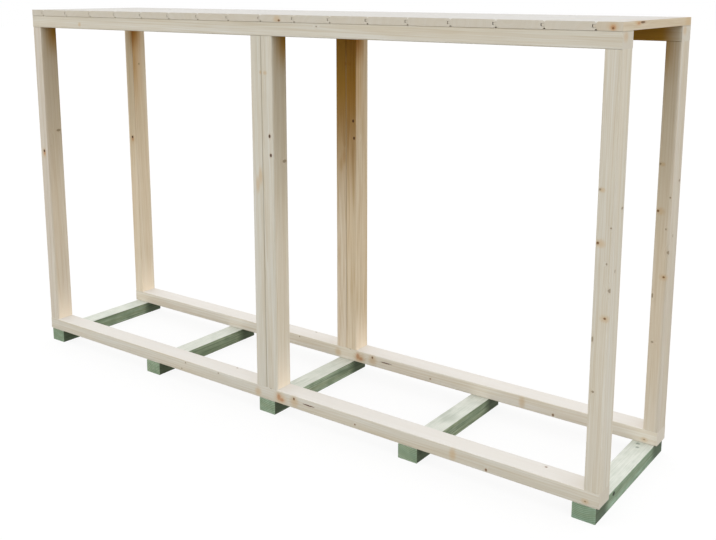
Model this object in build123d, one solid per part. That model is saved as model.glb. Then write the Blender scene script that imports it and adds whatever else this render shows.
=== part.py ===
from build123d import *
import os

# An open log store: two upright frames of planed timber stand on treated ground
# bearers and carry a level roof of tongue-and-groove boards.
# X runs along the store, the front faces -Y and Z is up. The origin is at ground
# level in the middle of the footprint. All sizes are in millimetres.

# Overall sizes
frame_length = 2329.0
frame_depth = 511.0
post_length = 1162.0

# Planed framing timber, one stock size for rails and posts
framing_thickness = 44.0
framing_depth = 70.0
framing_edge_radius = 3.0

# Treated bearers, laid flat under both frames
bearer_width = 68.0
bearer_height = 46.0
bearer_edge_radius = 2.0
bearer_end_inset = 7.0
bearer_count = 5

# Tongue-and-groove roof boards; the cover is the width from shoulder to shoulder
board_cover = 137.0
board_thickness = 22.0
board_top_bevel = 4.0
board_under_bevel = 4.5
tongue_length = 8.0
tongue_thickness = 6.5
tongue_nose_bevel = 2.0
tongue_side_clearance = 0.5
tongue_end_clearance = 2.5

# Levels and places worked out from those sizes
half_length = frame_length / 2
half_depth = frame_depth / 2
bottom_rail_level = bearer_height
post_level = bottom_rail_level + framing_thickness
top_rail_level = post_level + post_length
roof_level = top_rail_level + framing_thickness
frame_offset = half_depth - framing_depth / 2
groove_depth = tongue_length + tongue_end_clearance
groove_thickness = tongue_thickness + 2 * tongue_side_clearance


def ground_bearer(centre_x):
    """A treated bearer, flush with the front and back of the frames."""
    section = Plane.XZ * RectangleRounded(bearer_width, bearer_height, bearer_edge_radius)
    return Pos(centre_x, 0, bearer_height / 2) * extrude(section, half_depth, both=True)


def rail(centre_y, underside):
    """A full-length rail with eased long edges."""
    section = Plane.YZ * RectangleRounded(framing_depth, framing_thickness, framing_edge_radius)
    return Pos(0, centre_y, underside + framing_thickness / 2) * extrude(section, half_length, both=True)


def post(centre_x, centre_y):
    """A post with eased long edges, standing between the two rails of a frame."""
    section = RectangleRounded(framing_thickness, framing_depth, framing_edge_radius)
    return Pos(centre_x, centre_y, post_level) * extrude(section, post_length)


def tongued_edge(shoulder_x):
    """The left edge of a board section, from the underside up, with its tongue."""
    middle = board_thickness / 2
    low = middle - tongue_thickness / 2
    high = middle + tongue_thickness / 2
    nose_x = shoulder_x - tongue_length
    return [
        (shoulder_x + board_under_bevel, 0),
        (shoulder_x, board_under_bevel),
        (shoulder_x, low),
        (nose_x + tongue_nose_bevel, low),
        (nose_x, low + tongue_nose_bevel),
        (nose_x, high - tongue_nose_bevel),
        (nose_x + tongue_nose_bevel, high),
        (shoulder_x, high),
        (shoulder_x, board_thickness - board_top_bevel),
        (shoulder_x + board_top_bevel, board_thickness),
    ]


def grooved_edge(shoulder_x):
    """The right edge of a board section, from the top down, with its groove."""
    middle = board_thickness / 2
    low = middle - groove_thickness / 2
    high = middle + groove_thickness / 2
    floor_x = shoulder_x - groove_depth
    return [
        (shoulder_x - board_top_bevel, board_thickness),
        (shoulder_x, board_thickness - board_top_bevel),
        (shoulder_x, high),
        (floor_x, high),
        (floor_x, low),
        (shoulder_x, low),
        (shoulder_x, board_under_bevel),
        (shoulder_x - board_under_bevel, 0),
    ]


def roof_board(left_x, right_x, has_tongue, has_groove):
    """A roof board between two shoulders; an edge with no joint is ripped square."""
    left_edge = tongued_edge(left_x) if has_tongue else [(left_x, 0), (left_x, board_thickness)]
    right_edge = grooved_edge(right_x) if has_groove else [(right_x, board_thickness), (right_x, 0)]
    section = Plane.XZ * make_face(Polyline(*left_edge, *right_edge, close=True))
    return Pos(0, 0, roof_level) * extrude(section, half_depth, both=True)


def ground_bearers():
    """Bearers at even spacing, the outer two set in from the rail ends."""
    first_x = bearer_end_inset + bearer_width / 2 - half_length
    spacing = -2 * first_x / (bearer_count - 1)
    return {f"ground_bearer_{i + 1}": ground_bearer(first_x + i * spacing) for i in range(bearer_count)}


def upright_frame(side, centre_y):
    """Two rails, a post at each end and a pair of posts back to back in the middle."""
    end_x = half_length - framing_thickness / 2
    pair_x = framing_thickness / 2
    return {
        f"{side}_bottom_rail": rail(centre_y, bottom_rail_level),
        f"{side}_top_rail": rail(centre_y, top_rail_level),
        f"{side}_left_post": post(-end_x, centre_y),
        f"{side}_middle_post_left": post(-pair_x, centre_y),
        f"{side}_middle_post_right": post(pair_x, centre_y),
        f"{side}_right_post": post(end_x, centre_y),
    }


def roof_boards():
    """Whole boards centred on the roof, with the two end boards ripped to the width that is left."""
    whole_boards = round(frame_length / board_cover) - 1
    first_joint = -whole_boards * board_cover / 2
    joints = [first_joint + i * board_cover for i in range(whole_boards + 1)]
    edges = [-half_length, *joints, half_length]
    last = len(edges) - 2
    return {
        f"roof_board_{i + 1:02d}": roof_board(edges[i], edges[i + 1], i > 0, i < last)
        for i in range(last + 1)
    }


log_store = {
    **ground_bearers(),
    **upright_frame("front", -frame_offset),
    **upright_frame("back", frame_offset),
    **roof_boards(),
}

os.makedirs("parts", exist_ok=True)
for node, piece in log_store.items():
    export_step(piece, f"parts/{node}.step")
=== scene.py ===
import math
import random

import bmesh
import bpy
from mathutils import Euler, Matrix, Vector


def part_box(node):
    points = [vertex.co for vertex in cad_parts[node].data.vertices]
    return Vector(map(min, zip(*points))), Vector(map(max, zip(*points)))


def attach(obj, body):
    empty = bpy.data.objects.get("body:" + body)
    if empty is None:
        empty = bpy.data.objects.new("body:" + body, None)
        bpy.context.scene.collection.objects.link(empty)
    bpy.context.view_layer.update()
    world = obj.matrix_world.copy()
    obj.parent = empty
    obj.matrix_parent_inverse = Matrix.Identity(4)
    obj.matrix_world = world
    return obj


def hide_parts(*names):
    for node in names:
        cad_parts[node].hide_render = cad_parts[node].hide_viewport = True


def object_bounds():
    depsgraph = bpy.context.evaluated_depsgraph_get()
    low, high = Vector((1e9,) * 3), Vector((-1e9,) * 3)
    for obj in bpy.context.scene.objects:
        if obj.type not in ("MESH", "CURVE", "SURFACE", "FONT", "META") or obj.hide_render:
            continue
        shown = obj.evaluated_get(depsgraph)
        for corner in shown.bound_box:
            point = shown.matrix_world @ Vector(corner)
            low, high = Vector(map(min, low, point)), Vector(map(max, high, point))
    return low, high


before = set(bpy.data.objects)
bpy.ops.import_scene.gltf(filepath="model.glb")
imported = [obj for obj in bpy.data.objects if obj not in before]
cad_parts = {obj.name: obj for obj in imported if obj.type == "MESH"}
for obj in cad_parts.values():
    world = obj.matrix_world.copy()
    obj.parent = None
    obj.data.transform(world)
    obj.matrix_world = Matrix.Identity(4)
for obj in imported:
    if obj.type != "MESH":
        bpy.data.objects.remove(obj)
cad_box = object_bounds()

# An open log store of planed spruce on green treated bearers.
# Lengths are in metres unless a name or comment says millimetres.
MM = 0.001

# Camera: the height of a standing eye, off the right front corner, turned and dipped in degrees
CAMERA_PLACE = (2.0192, -2.4845, 1.3952)
CAMERA_YAW = 36.377
CAMERA_DIP = 10.73
CAMERA_LENS_MM = 47.95
CAMERA_SHIFT = -0.14

# Studio: a soft dome, warm and bright at the sides and cooler overhead, over a floor that throws part
# of the light back. The floor shows as a glow and a share of the light on it, which keeps a shadow.
DOME_HORIZON = "FFFCF5"
DOME_ZENITH = "D7D9DD"
DOME_STRENGTH = 1.65
FLOOR_BOUNCE = "8E8679"
FLOOR_SHADOW_SHARE = 0.115
FLOOR_GLOW = 0.88
FLOOR_SIZE = 60.0

# Spruce colours
SPRUCE_GROUND = "D8DAD7"
SPRUCE_WARM = "D4CAB9"
SPRUCE_BAND = "E9E1D0"
SPRUCE_CREAM = "D8CDB5"
SPRUCE_PALE = "E1E0DB"
SPRUCE_LATE = "DDC8A2"
SPRUCE_STREAK = "DAC59C"
SPRUCE_FIBRE = "DFD0B2"
SPRUCE_END = "C7C0B3"
# Top faces: lighter with painted light on the rails, greyer on the roof boards
SPRUCE_TOP_LIGHT = "E3E0DC"
SPRUCE_BOARD_TOP_GREY = "C4C2C0"
# Painted light and shade inside the store: cream light, light at the post feet, shade, amber light and
# honey shade
SPRUCE_INSIDE_LIGHT = "E3D6C0"
SPRUCE_FOOT_LIGHT = "F3E4CF"
SPRUCE_SHADE = "E6E5E0"
SPRUCE_AMBER_LIGHT = "FBDFAE"
SPRUCE_HONEY_SHADE = "D2A944"
# Painted shade with some dirt in the seams
SPRUCE_SEAM_SHADE = "CFC9BC"
SPRUCE_TAN = "C5A677"
RESIN_ORANGE = "C49065"
RESIN_RED = "9E5F33"
KNOT_HALO = "AE895E"
KNOT_GREY = "76684E"
KNOT_BROWN = "40200A"
KNOT_UMBER = "674624"
# Painted shade inside the drying check
CHECK_SHADE = "5E2C1E"

# Spruce planks that are plainly darker or warmer than the others
SPRUCE_TONES = {
    "front_left_post": "D5D0C9", "back_left_post": "E8DCC9", "back_middle_post_left": "E0D7CB",
    "back_middle_post_right": "DBCBB2", "back_right_post": "CDC8BF", "back_bottom_rail": "E7E4DE",
    "roof_board_18": "D1C4AE",
}

# Spruce planks with plainer streaks than the others, and the share of the streaks in both kinds
SPRUCE_STREAKY = ("back_middle_post_left", "back_middle_post_right")
STREAK_PLAIN = 0.6
STREAK_FAINT = 0.2

# The most that any other spruce plank goes from the ground colour to the warm one, and what is added
# to a plank's seed to draw it
WARM_MOST = 0.25
WARM_SEED = 100

# Treated softwood colours
TREATED_GREEN = "B6C8B0"
TREATED_STRAW = "A2A787"
TREATED_DEEP = "7B9076"
TREATED_DARK = "42513A"
# Painted shade under and near the rails
TREATED_RAIL_SHADE = "2E3827"
TREATED_END = "86A38D"
# Painted light on the bearers' tops
TREATED_TOP_LIGHT = "E7E9E2"
TREATED_STAIN = "919E8D"
TREATED_HALO = "7F9B83"
TREATED_KNOT = "282A1B"

# Bearers that took up less of the treatment than the first, or more
TREATED_TONES = {
    "ground_bearer_2": "C6D4B8", "ground_bearer_3": "C0D2BA",
    "ground_bearer_4": "C2D2BA", "ground_bearer_5": "AAC6B4",
}

# Galvanised steel: its colours, the width of a crystal in millimetres, the levels of the noise from
# the dullest crystal to the brightest, and the roughness of both
ZINC_DULL = "8F9396"
ZINC_BRIGHT = "C3C6C8"
ZINC_CRYSTAL = 2.5
ZINC_LEVELS = (0.35, 0.65)
ZINC_ROUGHNESS = (0.6, 0.4)

# Planed and treated wood is nearly matt: its roughness, how far that varies, and its gloss
SPRUCE_ROUGHNESS = 0.6
TREATED_ROUGHNESS = 0.7
ROUGHNESS_SPREAD = 0.06
WOOD_SPECULAR = 0.2

# Wood sizes in millimetres. Spruce rings are 2 to 4 mm wide; they are drawn coarser, because a
# pixel of the picture covers about 3 mm.
RING_NARROW = 4.5
RING_WIDE = 7.0
RING_WOBBLE = 9.0
PITH_NEAR = 28.0
PITH_FAR = 75.0
SEAM_WIDTH = 3.5
RELIEF_DEPTH = 0.15

# How steep the relief looks, and the height of the fibres in it beside that of the rings
RELIEF_STRENGTH = 0.4
RELIEF_FIBRE = 0.5

# Rings: the power that leaves the late wood narrow, the years in a band, and the levels of the noise
# between which a band fades in
LATE_POWER = 3.0
BAND_RINGS = 2.5
BAND_LEVELS = (0.35, 0.65)

# How far the grain leans, in degrees, and how far a bearer's pith swings from above it, in radians
GRAIN_LEAN = 0.9
PITH_SWING = 0.4

# How much of the painted shade and dirt of a top rail's seam the seam between two middle posts has
POST_SEAM_SHADE = 0.75

# Knots: the grain of the rim and the depth in millimetres, and then in half-sizes of the knot how far
# the rim strays, where the core and the halo are full and where they end, and how far off the hard
# looks push the rings aside, by how many years
KNOT_RIM_GRAIN = 4.0
KNOT_DEPTH = 12.0
KNOT_RAGGED = 0.4
KNOT_PARTS = {"core": (0.85, 1.2), "halo": (0.4, 2.4)}
HARD_LOOKS = ("dark", "brown", "grey", "resin")
PUSH_REACH = 4.5
PUSH_YEARS = 1.6

# Knots on unseen faces: the share of the face that they keep to, and their half-sizes in millimetres
UNSEEN_SPREAD = 0.7
UNSEEN_SMALL = 2.5
UNSEEN_LARGE = 4.5

# How far apart, in pattern lengths, the timbers can start in the same pattern
PATTERN_ROOM = 50

# Uneven patterns: length along the grain and width across it in millimetres, detail, and the
# levels of the noise between which the pattern fades in. Fibres are drawn coarser than real ones,
# so that they show.
UNEVEN = {
    "wobble": (700, 80, 1, 0.0, 1.0),
    "fibre": (120, 2.5, 2, 0.35, 0.7),
    "blotch": (420, 45, 1, 0.35, 0.7),
    "pallor": (700, 60, 1, 0.35, 0.7),
    "streak": (260, 5, 2, 0.48, 0.68),
    "mottle": (40, 20, 3, 0.4, 0.66),
}

# How squarely a face has to look one way, where it starts to count and where it counts in full: along
# the grain as an end or up as a top, down as an underside, and to an open side as closed along there
END_FACING = (0.6, 0.9)
UNDER_FACING = (-0.5, -0.9)
CLOSED_FACING = (0.85, 0.95)

# Painted light and shade on the timber inside the store: painted light that is pale at the foot of
# the posts and cream above it, and painted shade, amber light and honey shade towards the roof.
# These are the margin at the outer faces that has none of it, the heights between which each part
# grows, how far from an open side some are full, and a length that is farther than any open side.
SHELTER_MARGIN = (0.012, 0.012, 0.02)
SHELTER_HEIGHTS = {
    "foot": (0.28, 0.08), "cream": (0.09, 0.3), "shade": (0.5, 1.0),
    "amber": (0.8, 1.15), "deep": (0.55, 1.1), "corner": (1.1, 1.24),
}
SHELTER_REACH = {"amber": 0.09, "deep": 0.35, "corner": 0.06}
SHELTER_FAR = 10

# Low light comes in over the open long sides. The right faces of the back posts and the left faces
# of the front posts meet it, and have less painted shade and more painted amber light. These are how
# far from the middle that starts and is full, and the share of the shade that is left.
MET_START = 0.1
MET_FULL = 0.2
MET_SHADE = 0.3

# The rails throw light on the foot of the posts, most of it on the side faces; it is painted light.
# These are the share of its pale tint, and how much of that the front and back faces have
FOOT_SHARE = 0.7
FOOT_FRONT = 0.3

# Painted shade under and near the rails: how far from the middle of the store it starts and is full
RAIL_SHADE_START = 0.15
RAIL_SHADE_FULL = 0.2

# The turn that lays the pattern's own X along the grain, and the way that the grain then runs
GRAIN_TURN = {"X": (0, 0, 0), "Y": (0, 0, math.pi / 2), "Z": (0, -math.pi / 2, 0)}
GRAIN_WAY = {"X": (1, 0, 0), "Y": (0, 1, 0), "Z": (0, 0, 1)}

# Drying check in the bottom rails in millimetres, placed from the middle of the rail, and its slope
# in degrees
CHECK_PLACE = (178, -35, 4)
CHECK_LENGTH = 46.0
CHECK_WIDTH = 2.0
CHECK_DEPTH = 5.0
CHECK_SLOPE = 2.7

# Knots and stains as the photograph shows them, and the painted shade inside the drying check: the
# look, the place from the middle of the piece, and the half-sizes, both along X, Y and Z in
# millimetres. The front and back frames have most of theirs in the same places.
KNOTS = {
    "left_post": [
        ("dark", (0, -35, 104), (5, 12, 5.5)), ("resin", (1, -35, 96), (4, 8, 6)),
        ("tan", (0, -35, 95), (7, 8, 12)),
    ],
    "front_left_post": [("grey", (22, 20, 181), (12, 10, 4.5))],
    "back_left_post": [
        ("grey", (22, -2, 414), (8, 3, 3.5)), ("tan", (22, -31, 520), (8, 5, 45)),
        ("tan", (22, -27, 430), (8, 4, 45)),
    ],
    "middle_post_left": [
        ("tan", (0, -35, 108), (5, 6, 18)), ("tan", (12, -35, 135), (5, 6, 18)),
        ("tan", (20, -35, 468), (4, 6, 4)),
    ],
    "middle_post_right": [
        ("dark", (9, -35, 268), (4.2, 12, 5.5)), ("dark", (13, -35, 207), (4.2, 12, 5.5)),
        ("tan", (-6, -35, 467), (5, 6, 4)),
    ],
    "front_middle_post_right": [("grey", (22, 20, 182), (12, 9, 5))],
    "right_post": [
        ("grey", (-17, -35, 234), (3, 10, 3)), ("tan", (-10, -35, 233), (5, 6, 4)),
        ("grey", (17, -35, 139), (2.4, 8, 2.4)), ("tan", (-8, -35, 96), (8, 8, 7)),
        ("brown", (-16, -35, 96), (3.2, 10, 3.4)), ("grey", (10, -35, 45), (2.2, 8, 3)),
        ("brown", (12, -35, -98), (3.2, 10, 2.6)), ("tan", (12, -35, -99), (8, 8, 6)),
        ("grey", (-18, -35, -159), (2.5, 8, 7)), ("grey", (-10, -35, -301), (3.5, 10, 3)),
        ("grey", (22, 21, 181), (12, 6, 3.5)), ("grey", (22, -7, 22), (8, 2.5, 5)),
        ("grey", (22, -33, -23), (8, 2.5, 6)),
    ],
    "top_rail": [
        ("grey", (223, -35, 12), (3, 10, 2.4)), ("tan", (-885, -35, -6), (5, 8, 5)),
        ("tan", (1164, -14, 8), (6, 10, 8)),
    ],
    "bottom_rail": [
        ("grey", (-389, -35, 14), (2.6, 10, 2.6)), ("grey", (-409, -35, -12), (2.6, 10, 2.6)),
        ("grey", (-226, -35, 15), (2.6, 10, 2.6)), ("tan", (-40, -35, -3), (9, 8, 9)),
        ("grey", (17, -35, 22), (4, 8, 2)), ("tan", (59, -35, -3), (16, 10, 13)),
        ("resin", (52, -35, 0), (6, 10, 9)), ("resin", (64, -35, -6), (8, 10, 5)),
        ("tan", (118, -35, 1), (11, 10, 12)), ("brown", (117, -35, 11), (3.4, 10, 4.2)),
        ("check", CHECK_PLACE, (24, 8, 1.9)), ("brown", (365, -35, -8), (2.6, 10, 2.6)),
        ("tan", (718, -35, 0), (7, 8, 12)), ("brown", (828, -35, -14), (3.2, 10, 3.8)),
        ("tan", (1126, -35, -10), (7, 10, 5)), ("grey", (1126, -35, -10), (3, 10, 1.8)),
        ("grey", (-193, 26, 22), (4, 2.5, 6)), ("brown", (987, 19, 22), (3.5, 2.8, 6)),
    ],
    "ground_bearer_4": [("stain", (0, -14, 23), (16, 24, 4)), ("stain", (-26, 10, 23), (8, 30, 4))],
    "ground_bearer_5": [
        ("dark", (34, -132, 12), (10, 8, 6)), ("grey", (-11, 172, 23), (6, 5, 6)),
        ("grey", (-4, 148, 23), (5, 4.5, 6)),
    ],
    "roof_board_10": [("tan", (4, -255, -2), (9, 8, 7)), ("brown", (12, -255, -6), (4, 8, 3))],
    "roof_board_18": [
        ("tan", (13, -255, 0), (9, 8, 7)), ("resin", (13, -255, -3), (5, 8, 5)),
        ("brown", (13, -255, -4), (2.4, 8, 2.4)), ("tan", (34, -160, 6), (8, 16, 6)),
        ("resin", (34, -152, 5), (8, 9, 3)), ("brown", (34, -124, 7), (8, 18, 3.2)),
        ("tan", (34, 230, 0), (8, 18, 10)),
    ],
}

# Roof nails in millimetres: a pair across each board over each rail, at these shares of its width,
# driven just below the surface
NAIL_PLACES = (0.25, 0.75)
NAIL_HEAD = 6.5
NAIL_HEAD_EDGE = 0.8
NAIL_RIM = 0.8
NAIL_CROWN = 0.35
NAIL_SHANK = 3.0
NAIL_LENGTH = 45.0
NAIL_POINT = 5.0
NAIL_SUNK = 0.4
NAIL_STRAY = 4.0
NAIL_SEED = 7
DIMPLE_RIM = 11.0
DIMPLE_FLOOR = 6.8
DIMPLE_DEPTH = 1.7

# Modelling: the sides of a round bar, how straight up or down an end face looks, how near two points
# are that become one in millimetres, and in degrees how flat faces are that become one and how sharp
# an edge is that stays sharp
ROUND_SIDES = 12
END_UPRIGHT = 0.9
MERGE_APART = 0.01
FLAT_ANGLE = 0.5
NAIL_SHARP = 35
TIMBER_SHARP = 30


def linear(hex_colour):
    """An sRGB hex colour as linear red, green, blue and alpha."""
    shares = [int(hex_colour[i:i + 2], 16) / 255 for i in (0, 2, 4)]
    return [s / 12.92 if s <= 0.04045 else ((s + 0.055) / 1.055) ** 2.4 for s in shares] + [1.0]


def between(first, second, share):
    """A linear colour part of the way from one hex colour to another."""
    return [a + (b - a) * share for a, b in zip(linear(first), linear(second))]


def add(tree, kind, inputs=None, **settings):
    """Adds a node with its settings; an input is linked if it is given a socket, or else set."""
    node = tree.nodes.new(kind)
    for name, value in settings.items():
        setattr(node, name, value)
    for socket, value in (inputs or {}).items():
        if isinstance(value, bpy.types.NodeSocket):
            tree.links.new(value, node.inputs[socket])
        else:
            node.inputs[socket].default_value = value
    return node


def new_tree(block):
    """The empty node tree of a new material or world."""
    block.use_nodes = True
    block.node_tree.nodes.clear()
    return block.node_tree


def middle_of(node):
    """The middle of a CAD node's box."""
    low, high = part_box(node)
    return (low + high) / 2


def timbers(kind):
    """The CAD nodes of one kind, in order."""
    return [node for node in sorted(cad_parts) if kind in node]


def choose_faces(piece, wanted):
    """Selects the faces of a piece in edit mode that are wanted, by their place or normal."""
    bpy.ops.mesh.select_mode(type="FACE")
    bpy.ops.mesh.select_all(action="DESELECT")
    mesh = bmesh.from_edit_mesh(piece.data)
    for face in mesh.faces:
        face.select_set(wanted(face))
    bmesh.update_edit_mesh(piece.data)


def start_round(diameter, low, high):
    """A new round bar about Z between two heights in millimetres, left in edit mode to be shaped."""
    bpy.ops.object.select_all(action="DESELECT")
    bpy.ops.mesh.primitive_cylinder_add(
        vertices=ROUND_SIDES, radius=diameter / 2 * MM, depth=(high - low) * MM,
        location=(0, 0, (low + high) / 2 * MM))
    bpy.ops.object.transform_apply()
    bpy.ops.object.mode_set(mode="EDIT")
    return bpy.context.object


def roof_nail():
    """A round wire nail: a thin head with a low crown, its top at the origin, on a pointed shank."""
    nail = start_round(NAIL_HEAD, -NAIL_CROWN - NAIL_HEAD_EDGE, -NAIL_CROWN)
    choose_faces(nail, lambda face: face.normal.z > END_UPRIGHT)
    bpy.ops.mesh.inset(thickness=NAIL_RIM * MM)
    bpy.ops.transform.translate(value=(0, 0, NAIL_CROWN * MM))
    choose_faces(nail, lambda face: face.normal.z < -END_UPRIGHT)
    bpy.ops.mesh.inset(thickness=(NAIL_HEAD - NAIL_SHANK) / 2 * MM)
    straight = (0, 0, (NAIL_POINT - NAIL_LENGTH) * MM)
    bpy.ops.mesh.extrude_region_move(TRANSFORM_OT_translate={"value": straight})
    bpy.ops.mesh.extrude_region_move(TRANSFORM_OT_translate={"value": (0, 0, -NAIL_POINT * MM)})
    bpy.ops.mesh.merge(type="COLLAPSE")
    bpy.ops.object.mode_set(mode="OBJECT")
    bpy.ops.object.shade_smooth_by_angle(angle=math.radians(NAIL_SHARP))
    return nail


def nail_dimple():
    """The hollow that a driven nail head presses round itself, its rim at the origin's level."""
    top = 2 * DIMPLE_RIM - DIMPLE_FLOOR
    dimple = start_round(top, -DIMPLE_DEPTH, DIMPLE_DEPTH)
    choose_faces(dimple, lambda face: face.normal.z < -END_UPRIGHT)
    narrow = DIMPLE_FLOOR / top
    bpy.ops.transform.resize(value=(narrow, narrow, 1))
    bpy.ops.object.mode_set(mode="OBJECT")
    return dimple


def drying_check():
    """A thin drying check: a lens that runs slightly out of the grain."""
    check = start_round(CHECK_LENGTH, -CHECK_DEPTH, CHECK_DEPTH)
    bpy.ops.mesh.select_all(action="SELECT")
    bpy.ops.transform.resize(value=(1, CHECK_WIDTH / CHECK_LENGTH, 1))
    bpy.ops.transform.rotate(value=math.pi / 2, orient_axis="X", center_override=(0, 0, 0))
    slope = math.radians(CHECK_SLOPE)
    bpy.ops.transform.rotate(value=-slope, orient_axis="Y", center_override=(0, 0, 0))
    bpy.ops.object.mode_set(mode="OBJECT")
    return check


def copy_at(model, place):
    """A copy of a model with its own mesh, moved to a place."""
    copy = bpy.data.objects.new(model.name, model.data.copy())
    copy.data.transform(Matrix.Translation(place))
    bpy.context.scene.collection.objects.link(copy)
    return copy


def joined(name, copies):
    """Copies joined into one piece."""
    bpy.ops.object.select_all(action="DESELECT")
    for copy in copies:
        copy.select_set(True)
    bpy.context.view_layer.objects.active = copies[0]
    bpy.ops.object.join()
    copies[0].name = name
    return copies[0]


def worked_timber(node, cutter):
    """A merged copy of a CAD timber that stands for it, with the cutter's shape cut out."""
    bpy.ops.object.select_all(action="DESELECT")
    timber = bpy.data.objects.new(node + "_worked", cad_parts[node].data.copy())
    bpy.context.scene.collection.objects.link(timber)
    timber.select_set(True)
    bpy.context.view_layer.objects.active = timber
    bpy.ops.mesh.customdata_custom_splitnormals_clear()
    bpy.ops.object.mode_set(mode="EDIT")
    bpy.ops.mesh.select_all(action="SELECT")
    bpy.ops.mesh.remove_doubles(threshold=MERGE_APART * MM)
    bpy.ops.mesh.dissolve_limited(angle_limit=math.radians(FLAT_ANGLE))
    bpy.ops.object.mode_set(mode="OBJECT")
    cut = timber.modifiers.new("cut", "BOOLEAN")
    cut.operation = "DIFFERENCE"
    cut.solver = "EXACT"
    cut.object = cutter
    bpy.ops.object.modifier_apply(modifier=cut.name)
    bpy.ops.object.shade_smooth_by_angle(angle=math.radians(TIMBER_SHARP))
    bpy.data.objects.remove(cutter)
    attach(timber, "root")
    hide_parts(node)
    return timber


def nailed_roof():
    """Nails the roof boards down over both top rails, and gives the worked boards by node."""
    chance = random.Random(NAIL_SEED)
    nail = roof_nail()
    dimple = nail_dimple()
    top = cad_box[1].z
    nails = {"front": [], "back": []}
    boards = {}
    for node in timbers("roof_board"):
        low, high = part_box(node)
        hollows = []
        for side, row in nails.items():
            rail = middle_of(side + "_top_rail")
            for share in NAIL_PLACES:
                stray = [chance.uniform(-NAIL_STRAY, NAIL_STRAY) * MM for _ in range(2)]
                place = Vector((low.x + (high.x - low.x) * share, rail.y, top)) + Vector((*stray, 0))
                row.append(copy_at(nail, place - Vector((0, 0, NAIL_SUNK * MM))))
                hollows.append(copy_at(dimple, place))
        boards[node] = worked_timber(node, joined("dimples", hollows))
    steel = galvanised_steel()
    for side, row in nails.items():
        piece = joined("roof_nails_" + side, row)
        piece.data.materials.append(steel)
        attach(piece, "root")
    bpy.data.objects.remove(nail)
    bpy.data.objects.remove(dimple)
    return boards


def checked_rails():
    """Opens a drying check in the front of both bottom rails, and gives the worked rails by node."""
    check = drying_check()
    rails = {}
    for node in timbers("bottom_rail"):
        rails[node] = worked_timber(node, copy_at(check, middle_of(node) + Vector(CHECK_PLACE) * MM))
    bpy.data.objects.remove(check)
    return rails


def galvanised_steel():
    """Hot-dipped zinc on nail heads: a dull grey metal, with brighter and duller crystals."""
    material = bpy.data.materials.new("galvanised_steel")
    tree = new_tree(material)
    place = add(tree, "ShaderNodeTexCoord").outputs["Object"]
    dull, bright = ZINC_LEVELS
    crystal = {"Vector": place, "Scale": 1 / (ZINC_CRYSTAL * MM), "Detail": 2.0}
    crystal = add(tree, "ShaderNodeTexNoise", crystal).outputs[0]
    crystal = {0: crystal, 1: dull, 2: bright, 3: 0.0, 4: 1.0}
    crystal = add(tree, "ShaderNodeMapRange", crystal).outputs[0]
    tone = {0: crystal, 6: linear(ZINC_DULL), 7: linear(ZINC_BRIGHT)}
    tone = add(tree, "ShaderNodeMix", tone, data_type="RGBA").outputs[2]
    rough, smooth = ZINC_ROUGHNESS
    rough = {0: crystal, 1: 0.0, 2: 1.0, 3: rough, 4: smooth}
    rough = add(tree, "ShaderNodeMapRange", rough).outputs[0]
    surface = {"Base Color": tone, "Metallic": 1.0, "Roughness": rough}
    shader = add(tree, "ShaderNodeBsdfPrincipled", surface).outputs[0]
    add(tree, "ShaderNodeOutputMaterial", {"Surface": shader})
    return material


def knot_field(tree, from_middle, knots):
    """How far each point is from the nearest of these knots, in that knot's own half-sizes."""
    nearest = None
    for _, place, half_sizes in knots:
        own = {"Vector": from_middle, "Location": place, "Scale": half_sizes}
        own = add(tree, "ShaderNodeMapping", own, vector_type="TEXTURE").outputs[0]
        apart = add(tree, "ShaderNodeVectorMath", {0: own}, operation="LENGTH").outputs["Value"]
        if nearest is not None:
            both = {0: nearest, 1: apart}
            apart = add(tree, "ShaderNodeMath", both, operation="MINIMUM").outputs[0]
        nearest = apart
    rim = {"Vector": from_middle, "Scale": 1 / KNOT_RIM_GRAIN, "Detail": 1.0}
    rim = add(tree, "ShaderNodeTexNoise", rim).outputs[0]
    ragged = {0: rim, 1: KNOT_RAGGED, 2: -KNOT_RAGGED / 2}
    ragged = add(tree, "ShaderNodeMath", ragged, operation="MULTIPLY_ADD").outputs[0]
    return add(tree, "ShaderNodeMath", {0: nearest, 1: ragged}).outputs[0]


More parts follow.
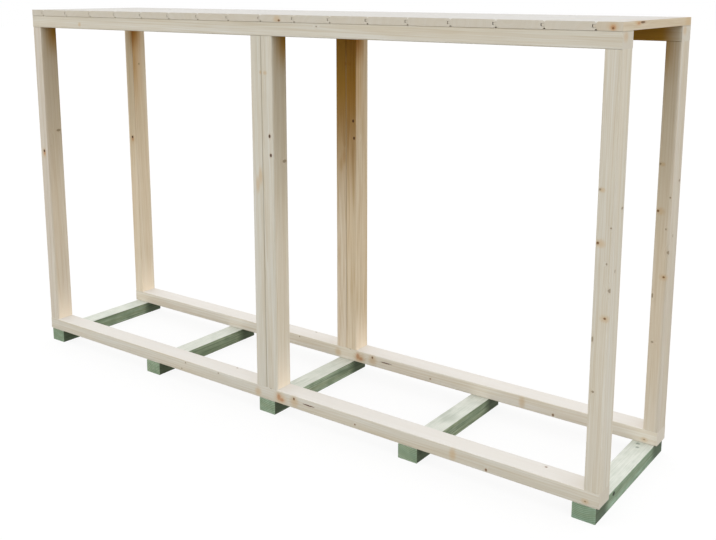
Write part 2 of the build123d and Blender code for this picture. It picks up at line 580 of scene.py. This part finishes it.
def painted_light_and_shade(tree, place, facing):
    """Shares of painted light and shade in the store: pale light at the foot, cream light inside, and
    painted shade and amber light towards the roof; honey shade deep under it, in corners and
    undersides."""
    folded = add(tree, "ShaderNodeVectorMath", {0: place}, operation="ABSOLUTE").outputs[0]
    depth = {0: cad_box[1], 1: folded}
    depth = add(tree, "ShaderNodeVectorMath", depth, operation="SUBTRACT").outputs[0]
    sides = {6: depth, 7: (0, 0, 0), 8: SHELTER_MARGIN, 9: (0, 0, 0), 10: (1, 1, 1)}
    sides = add(
        tree, "ShaderNodeMapRange", sides, data_type="FLOAT_VECTOR", interpolation_type="SMOOTHSTEP")
    sides = add(tree, "ShaderNodeSeparateXYZ", {0: sides.outputs[1]}).outputs
    inside = 1.0
    for side in sides:
        inside = add(tree, "ShaderNodeMath", {0: inside, 1: side}, operation="MULTIPLY").outputs[0]

    # The nearest open side is looked for along the face, so the way that the face looks is left out
    looks = add(tree, "ShaderNodeVectorMath", {0: facing}, operation="ABSOLUTE").outputs[0]
    start, full = CLOSED_FACING
    closed = {6: looks, 7: [start] * 3, 8: [full] * 3, 9: (0, 0, 0), 10: [SHELTER_FAR] * 3}
    closed = add(tree, "ShaderNodeMapRange", closed, data_type="FLOAT_VECTOR").outputs[1]
    along = add(tree, "ShaderNodeVectorMath", {0: closed, 1: depth}).outputs[0]
    along = add(tree, "ShaderNodeSeparateXYZ", {0: along}).outputs
    along = {0: along["X"], 1: along["Y"]}
    open_side = add(tree, "ShaderNodeMath", along, operation="MINIMUM").outputs[0]

    where = add(tree, "ShaderNodeSeparateXYZ", {0: place}).outputs
    way = add(tree, "ShaderNodeSeparateXYZ", {0: facing}).outputs
    shares = {}
    for name, (low, high) in SHELTER_HEIGHTS.items():
        share = {0: where["Z"], 1: low, 2: high, 3: 0.0, 4: inside}
        share = add(tree, "ShaderNodeMapRange", share, interpolation_type="SMOOTHSTEP").outputs[0]
        shares[name] = share
    for name, reach in SHELTER_REACH.items():
        share = {0: open_side, 1: 0.0, 2: reach, 3: 0.0, 4: shares[name]}
        share = add(tree, "ShaderNodeMapRange", share, interpolation_type="SMOOTHSTEP").outputs[0]
        shares[name] = share

    met = {0: where["Y"], 1: way["X"]}
    met = add(tree, "ShaderNodeMath", met, operation="MULTIPLY").outputs[0]
    met = {0: met, 1: MET_START, 2: MET_FULL, 3: 0.0, 4: 1.0}
    met = add(tree, "ShaderNodeMapRange", met).outputs[0]
    sidelong = add(tree, "ShaderNodeMath", {0: way["X"]}, operation="ABSOLUTE").outputs[0]
    # Painted amber light and less painted shade where low light meets a side face, and painted light
    # at the foot mostly on the side faces
    for name, turned, least, most in (
        ("amber", met, 0.0, 1.0), ("shade", met, 1.0, MET_SHADE), ("foot", sidelong, FOOT_FRONT, 1.0),
    ):
        kept = {0: turned, 1: 0.0, 2: 1.0, 3: least, 4: most}
        kept = {0: shares[name], 1: add(tree, "ShaderNodeMapRange", kept).outputs[0]}
        shares[name] = add(tree, "ShaderNodeMath", kept, operation="MULTIPLY").outputs[0]

    # Painted honey shade on the undersides, deep under the roof and in the corners
    start, full = UNDER_FACING
    under = {0: way["Z"], 1: start, 2: full, 3: 0.0, 4: shares["shade"]}
    honey = add(tree, "ShaderNodeMapRange", under).outputs[0]
    for name in ("deep", "corner"):
        both = {0: honey, 1: shares.pop(name)}
        honey = add(tree, "ShaderNodeMath", both, operation="MAXIMUM").outputs[0]
    return {**shares, "honey": honey}


def damp(tree, place):
    """How much a point of a bearer is darkened by painted shade: only under and close to the rails."""
    across = add(tree, "ShaderNodeSeparateXYZ", {0: place}).outputs["Y"]
    across = add(tree, "ShaderNodeMath", {0: across}, operation="ABSOLUTE").outputs[0]
    near = {0: across, 1: RAIL_SHADE_START, 2: RAIL_SHADE_FULL, 3: 0.0, 4: 1.0}
    return add(tree, "ShaderNodeMapRange", near, interpolation_type="SMOOTHSTEP").outputs[0]


def trunk(tree, node, grain, from_middle, chance):
    """Each point from the pith of the trunk that a timber was sawn from, with the grain along X. The
    pith lies near or outside the section, so faces show straight lines or long arches."""
    turn = Euler(GRAIN_TURN[grain]).to_matrix()
    angle = chance.uniform(0, 2 * math.pi)
    reach = chance.uniform(PITH_NEAR, PITH_FAR)
    if node.startswith("ground_bearer"):
        angle = math.pi / 2 + chance.uniform(-PITH_SWING, PITH_SWING)
        reach += PITH_FAR
    pith = turn @ Vector((0, reach * math.cos(angle), reach * math.sin(angle)))
    lean = [0] + [math.radians(chance.uniform(-GRAIN_LEAN, GRAIN_LEAN)) for _ in range(2)]
    axis = (turn @ Euler(lean).to_matrix()).to_euler()
    growing = {"Vector": from_middle, "Location": pith, "Rotation": axis}
    return add(tree, "ShaderNodeMapping", growing, vector_type="TEXTURE").outputs[0]


def uneven(tree, from_pith, chance):
    """Uneven fibres and tones, stretched along the grain."""
    shares = {}
    for name, (length, width, detail, faint, full) in UNEVEN.items():
        start = [chance.uniform(0, PATTERN_ROOM) for _ in range(3)]
        stretch = {"Vector": from_pith, "Location": start, "Scale": (1 / length, 1 / width, 1 / width)}
        stretched = add(tree, "ShaderNodeMapping", stretch).outputs[0]
        noise = {"Vector": stretched, "Scale": 1.0, "Detail": detail}
        noise = add(tree, "ShaderNodeTexNoise", noise).outputs[0]
        noise = {0: noise, 1: faint, 2: full, 3: 0.0, 4: 1.0}
        shares[name] = add(tree, "ShaderNodeMapRange", noise).outputs[0]
    return shares


def knots_by_look(tree, from_middle, knots):
    """The cores and halos of the knots, and how many years the hard ones push the rings aside."""
    shares = {}
    pushed = 0.0
    for look in sorted({knot[0] for knot in knots}):
        apart = knot_field(tree, from_middle, [knot for knot in knots if knot[0] == look])
        for part, (near, far) in KNOT_PARTS.items():
            fade = {0: apart, 1: near, 2: far, 3: 1.0, 4: 0.0}
            fade = add(tree, "ShaderNodeMapRange", fade, interpolation_type="SMOOTHSTEP").outputs[0]
            shares[look + "_" + part] = fade
        if look in HARD_LOOKS:
            push = {0: apart, 1: 0.0, 2: PUSH_REACH, 3: PUSH_YEARS, 4: 0.0}
            push = add(tree, "ShaderNodeMapRange", push, interpolation_type="SMOOTHSTEP").outputs[0]
            pushed = add(tree, "ShaderNodeMath", {0: push, 1: pushed}, operation="MAXIMUM").outputs[0]
    return shares, pushed


def rings(tree, from_pith, wobble, pushed, chance):
    """Late wood of the rings round the pith, wavy along the trunk, and bands of years."""
    ring_width = chance.uniform(RING_NARROW, RING_WIDE)
    across = {0: from_pith, 1: (0, 1, 1)}
    across = add(tree, "ShaderNodeVectorMath", across, operation="MULTIPLY").outputs[0]
    radius = add(tree, "ShaderNodeVectorMath", {0: across}, operation="LENGTH").outputs["Value"]
    wavy = {0: wobble, 1: RING_WOBBLE, 2: radius}
    wavy = add(tree, "ShaderNodeMath", wavy, operation="MULTIPLY_ADD").outputs[0]
    years = {0: wavy, 1: 1 / ring_width, 2: pushed}
    years = add(tree, "ShaderNodeMath", years, operation="MULTIPLY_ADD").outputs[0]
    year = add(tree, "ShaderNodeMath", {0: years}, operation="FRACT").outputs[0]
    late = add(tree, "ShaderNodeMath", {0: year, 1: LATE_POWER}, operation="POWER").outputs[0]

    good_years = {0: years, 1: 1 / BAND_RINGS, 2: chance.uniform(0, PATTERN_ROOM)}
    good_years = add(tree, "ShaderNodeMath", good_years, operation="MULTIPLY_ADD").outputs[0]
    band = {"W": good_years, "Scale": 1.0, "Detail": 1.0}
    band = add(tree, "ShaderNodeTexNoise", band, noise_dimensions="1D").outputs[0]
    faint, full = BAND_LEVELS
    band = {0: band, 1: faint, 2: full, 3: 0.0, 4: 1.0}
    return {"late": late, "band": add(tree, "ShaderNodeMapRange", band).outputs[0]}


def seam_shade(tree, node, place, from_middle):
    """Painted shade with some dirt along a top rail under the roof, or a middle post beside the other.
    """
    if node.endswith("top_rail"):
        upper = add(tree, "ShaderNodeSeparateXYZ", {0: from_middle}).outputs["Z"]
        high = (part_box(node)[1] - middle_of(node)).z / MM
        line = {0: upper, 1: high - SEAM_WIDTH, 2: high - SEAM_WIDTH / 2, 3: 0.0, 4: 1.0}
    elif "middle_post" in node:
        beside = add(tree, "ShaderNodeSeparateXYZ", {0: place}).outputs["X"]
        beside = add(tree, "ShaderNodeMath", {0: beside}, operation="ABSOLUTE").outputs[0]
        line = {0: beside, 1: SEAM_WIDTH * MM, 2: SEAM_WIDTH / 2 * MM, 3: 0.0, 4: POST_SEAM_SHADE}
    else:
        return {}
    return {"seam": add(tree, "ShaderNodeMapRange", line).outputs[0]}


def timber_growth(tree, node, grain, knots, seed):
    """The solid pattern of one sawn timber, as shares from 0 to 1 by name: late wood of the rings,
    bands of years, uneven fibres and tones, knots, seam shade, cut ends, top faces, painted light and
    shade."""
    chance = random.Random(seed)
    place = add(tree, "ShaderNodeTexCoord").outputs["Object"]
    facing = add(tree, "ShaderNodeNewGeometry").outputs["Normal"]
    middle = {"Vector": place, "Location": middle_of(node), "Scale": (MM, MM, MM)}
    from_middle = add(tree, "ShaderNodeMapping", middle, vector_type="TEXTURE").outputs[0]
    from_pith = trunk(tree, node, grain, from_middle, chance)
    growth = uneven(tree, from_pith, chance)
    knotted, pushed = knots_by_look(tree, from_middle, knots)
    growth.update(knotted)
    growth.update(rings(tree, from_pith, growth["wobble"], pushed, chance))
    growth.update(painted_light_and_shade(tree, place, facing))
    growth.update(seam_shade(tree, node, place, from_middle))
    growth["damp"] = damp(tree, place)

    along = {0: facing, 1: GRAIN_WAY[grain]}
    along = add(tree, "ShaderNodeVectorMath", along, operation="DOT_PRODUCT").outputs["Value"]
    along = add(tree, "ShaderNodeMath", {0: along}, operation="ABSOLUTE").outputs[0]
    upward = add(tree, "ShaderNodeSeparateXYZ", {0: facing}).outputs["Z"]
    start, full = END_FACING
    for name, share in (("end", along), ("top", upward)):
        squarely = {0: share, 1: start, 2: full, 3: 0.0, 4: 1.0}
        growth[name] = add(tree, "ShaderNodeMapRange", squarely).outputs[0]

    # Ends show the rings, but no fibres, streaks or painted shade under the rails
    aside = add(tree, "ShaderNodeMath", {0: 1.0, 1: growth["end"]}, operation="SUBTRACT").outputs[0]
    for name in ("damp", "fibre", "streak"):
        kept = {0: growth[name], 1: aside}
        growth[name] = add(tree, "ShaderNodeMath", kept, operation="MULTIPLY").outputs[0]
    end_rings = {0: growth["late"], 1: growth["end"]}
    growth["end_rings"] = add(tree, "ShaderNodeMath", end_rings, operation="MULTIPLY").outputs[0]
    return growth


def wood(name, node, grain, knots, seed, ground, layers, roughness):
    """A wood material: a ground colour, then tints laid over it where the growth pattern says. A layer
    is the name of its pattern, the most of it that is laid, how it blends, and its tint."""
    material = bpy.data.materials.new(name)
    tree = new_tree(material)
    growth = timber_growth(tree, node, grain, knots, seed)
    colour = ground
    for pattern, most, blend, tint in layers:
        if pattern in growth:
            share = {0: growth[pattern], 1: most}
            share = add(tree, "ShaderNodeMath", share, operation="MULTIPLY").outputs[0]
            laid = {0: share, 6: colour, 7: linear(tint)}
            colour = add(tree, "ShaderNodeMix", laid, data_type="RGBA", blend_type=blend).outputs[2]
    smooth, rough = roughness - ROUGHNESS_SPREAD, roughness + ROUGHNESS_SPREAD
    worn = {0: growth["fibre"], 1: 0.0, 2: 1.0, 3: smooth, 4: rough}
    worn = add(tree, "ShaderNodeMapRange", worn).outputs[0]
    relief = {0: growth["fibre"], 1: RELIEF_FIBRE, 2: growth["late"]}
    relief = add(tree, "ShaderNodeMath", relief, operation="MULTIPLY_ADD").outputs[0]
    relief = {"Height": relief, "Strength": RELIEF_STRENGTH, "Distance": RELIEF_DEPTH * MM}
    relief = add(tree, "ShaderNodeBump", relief).outputs[0]
    surface = {
        "Base Color": colour, "Roughness": worn, "Normal": relief, "Specular IOR Level": WOOD_SPECULAR,
    }
    shader = add(tree, "ShaderNodeBsdfPrincipled", surface).outputs[0]
    add(tree, "ShaderNodeOutputMaterial", {"Surface": shader})
    return material


def planed_spruce(node, grain, knots, seed):
    """Planed spruce: pale cream and nearly matt, with faint straight grain, soft bands, a few small
    brown knots and resin spots. Boards are greyer on top, and rails are lighter there with painted
    light."""
    # Top faces: painted light on the rails, greyer on the roof boards
    top = SPRUCE_BOARD_TOP_GREY if node.startswith("roof_board") else SPRUCE_TOP_LIGHT
    streak = STREAK_PLAIN if node in SPRUCE_STREAKY else STREAK_FAINT
    foot = FOOT_SHARE if "post" in node else 0.0
    layers = (
        ("blotch", 0.3, "MIX", SPRUCE_CREAM),
        ("pallor", 0.35, "MIX", SPRUCE_PALE),
        # Painted cream light inside the store
        ("cream", 0.4, "MIX", SPRUCE_INSIDE_LIGHT),
        ("band", 0.3, "MULTIPLY", SPRUCE_BAND),
        ("late", 0.22, "MULTIPLY", SPRUCE_LATE),
        ("streak", streak, "MULTIPLY", SPRUCE_STREAK),
        ("fibre", 0.22, "MULTIPLY", SPRUCE_FIBRE),
        ("end", 0.65, "MIX", SPRUCE_END),
        # Painted light on top faces; the roof boards are greyer there
        ("top", 0.8, "MIX", top),
        ("tan_halo", 0.5, "MIX", SPRUCE_TAN),
        # Painted shade with some dirt in the seams
        ("seam", 0.6, "MULTIPLY", SPRUCE_SEAM_SHADE),
        # Painted light at the foot of the posts, then painted shade, amber light and honey shade under
        # the roof
        ("foot", foot, "MIX", SPRUCE_FOOT_LIGHT),
        ("shade", 1.0, "MULTIPLY", SPRUCE_SHADE),
        ("amber", 1.0, "MULTIPLY", SPRUCE_AMBER_LIGHT),
        ("honey", 1.0, "MULTIPLY", SPRUCE_HONEY_SHADE),
        ("resin_halo", 0.6, "MIX", RESIN_ORANGE),
        ("resin_core", 0.3, "MIX", RESIN_RED),
        ("grey_halo", 0.15, "MIX", KNOT_HALO),
        ("grey_core", 0.65, "MIX", KNOT_GREY),
        ("brown_halo", 0.4, "MIX", KNOT_HALO),
        ("brown_core", 0.85, "MIX", KNOT_UMBER),
        ("dark_halo", 0.35, "MIX", KNOT_HALO),
        ("dark_core", 0.9, "MIX", KNOT_BROWN),
        # Painted shade inside the drying check
        ("check_core", 0.9, "MIX", CHECK_SHADE),
    )
    if node in SPRUCE_TONES:
        ground = linear(SPRUCE_TONES[node])
    else:
        warm = random.Random(seed + WARM_SEED).uniform(0.0, WARM_MOST)
        ground = between(SPRUCE_GROUND, SPRUCE_WARM, warm)
    name = "planed_spruce_" + node
    return wood(name, node, grain, knots, seed, ground, layers, SPRUCE_ROUGHNESS)


def treated_spruce(node, grain, knots, seed):
    """Pressure-treated softwood: grey-green salts, mottled and streaked where the timber took up
    more or less, with painted shade under and near the rails, and lighter on top with painted light
    and stained there."""
    layers = (
        ("band", 0.6, "MIX", TREATED_STRAW),
        ("blotch", 0.5, "MIX", TREATED_DEEP),
        ("mottle", 0.5, "MIX", TREATED_DEEP),
        ("late", 0.5, "MIX", TREATED_DEEP),
        ("streak", 0.65, "MIX", TREATED_DARK),
        ("fibre", 0.22, "MIX", TREATED_DARK),
        # Painted shade under and near the rails
        ("damp", 0.8, "MIX", TREATED_RAIL_SHADE),
        ("end", 0.4, "MIX", TREATED_END),
        ("end_rings", 0.8, "MIX", TREATED_DARK),
        # Painted light on the bearers' tops
        ("top", 0.9, "MIX", TREATED_TOP_LIGHT),
        ("fibre", 0.22, "MIX", TREATED_DEEP),
        ("mottle", 0.15, "MIX", TREATED_DEEP),
        ("stain_halo", 0.4, "MIX", TREATED_STAIN),
        ("grey_halo", 0.3, "MIX", TREATED_HALO),
        ("grey_core", 0.4, "MIX", TREATED_KNOT),
        ("dark_halo", 0.5, "MIX", TREATED_HALO),
        ("dark_core", 0.95, "MIX", TREATED_KNOT),
    )
    ground = linear(TREATED_TONES.get(node, TREATED_GREEN))
    name = "treated_spruce_" + node
    return wood(name, node, grain, knots, seed, ground, layers, TREATED_ROUGHNESS)


def unseen_knots(node, grain, seed):
    """A few small knots on the faces that the photograph doesn't show."""
    chance = random.Random(seed)
    low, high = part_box(node)
    half = (high - low) / 2 / MM
    knots = []
    for face in [axis for axis in range(3) if "XYZ"[axis] != grain]:
        for look in ("dark", "grey"):
            place = [chance.uniform(-UNSEEN_SPREAD, UNSEEN_SPREAD) * side for side in half]
            place[face] = half[face] if face == 1 else -half[face]
            half_sizes = [chance.uniform(UNSEEN_SMALL, UNSEEN_LARGE) for _ in range(3)]
            half_sizes[face] = KNOT_DEPTH
            knots.append((look, place, half_sizes))
    return knots


def finish_timbers(worked):
    """Gives every timber its own wood, on the worked copy where there is one."""
    for seed, node in enumerate(sorted(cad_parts)):
        grain = "X" if "rail" in node else "Z" if "post" in node else "Y"
        alike = node.replace("front_", "").replace("back_", "")
        knots = [knot for key in dict.fromkeys((alike, node)) for knot in KNOTS.get(key, [])]
        knots += unseen_knots(node, grain, seed)
        finish = treated_spruce if node.startswith("ground_bearer") else planed_spruce
        timber = worked.get(node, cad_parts[node])
        timber.data.materials.clear()
        timber.data.materials.append(finish(node, grain, knots, seed))


def seen_directly(tree):
    """1 for a surface that is seen, also in a reflection or through glass, and 0 for bounced light."""
    ray = add(tree, "ShaderNodeLightPath").outputs
    seen = ray["Is Camera Ray"]
    for kind in ("Is Glossy Ray", "Is Transmission Ray"):
        seen = add(tree, "ShaderNodeMath", {0: seen, 1: ray[kind]}, operation="MAXIMUM").outputs[0]
    return seen


def studio_floor():
    """A white floor that keeps a soft shadow."""
    bpy.ops.object.select_all(action="DESELECT")
    bpy.ops.mesh.primitive_plane_add(size=FLOOR_SIZE)
    floor = bpy.context.object
    floor.name = "studio_floor"
    material = bpy.data.materials.new("studio_floor_paint")
    tree = new_tree(material)
    lit = [FLOOR_SHADOW_SHARE] * 3 + [1.0]
    paint = add(tree, "ShaderNodeBsdfDiffuse", {"Color": lit}).outputs[0]
    glow = add(tree, "ShaderNodeEmission", {"Strength": FLOOR_GLOW}).outputs[0]
    shown = add(tree, "ShaderNodeAddShader", {0: paint, 1: glow}).outputs[0]
    bounce = add(tree, "ShaderNodeBsdfDiffuse", {"Color": linear(FLOOR_BOUNCE)}).outputs[0]
    mixed = add(tree, "ShaderNodeMixShader", {0: seen_directly(tree), 1: bounce, 2: shown}).outputs[0]
    add(tree, "ShaderNodeOutputMaterial", {"Surface": mixed})
    floor.data.materials.append(material)


def studio_dome():
    """An even white backdrop, and soft light from all of the sky."""
    world = bpy.data.worlds.new("studio_dome")
    bpy.context.scene.world = world
    tree = new_tree(world)
    way = add(tree, "ShaderNodeTexCoord").outputs["Generated"]
    height = add(tree, "ShaderNodeSeparateXYZ", {0: way}).outputs["Z"]
    tone = {0: height, 6: linear(DOME_HORIZON), 7: linear(DOME_ZENITH)}
    tone = add(tree, "ShaderNodeMix", tone, data_type="RGBA").outputs[2]
    dome = add(tree, "ShaderNodeBackground", {"Color": tone, "Strength": DOME_STRENGTH}).outputs[0]
    backdrop = add(tree, "ShaderNodeBackground", {"Color": (1, 1, 1, 1)}).outputs[0]
    mixed = add(tree, "ShaderNodeMixShader", {0: seen_directly(tree), 1: dome, 2: backdrop}).outputs[0]
    add(tree, "ShaderNodeOutputWorld", {"Surface": mixed})


def photograph_camera():
    """The camera at the photograph's angle, in front of the right-hand end."""
    lens = bpy.data.cameras.new("photograph_camera")
    lens.lens = CAMERA_LENS_MM
    lens.shift_y = CAMERA_SHIFT
    camera = bpy.data.objects.new("photograph_camera", lens)
    bpy.context.scene.collection.objects.link(camera)
    camera.location = CAMERA_PLACE
    camera.rotation_euler = (math.radians(90 - CAMERA_DIP), 0, math.radians(CAMERA_YAW))
    bpy.context.scene.camera = camera


bpy.context.scene.view_settings.view_transform = "Standard"
finish_timbers({**nailed_roof(), **checked_rails()})
studio_floor()
studio_dome()
photograph_camera()
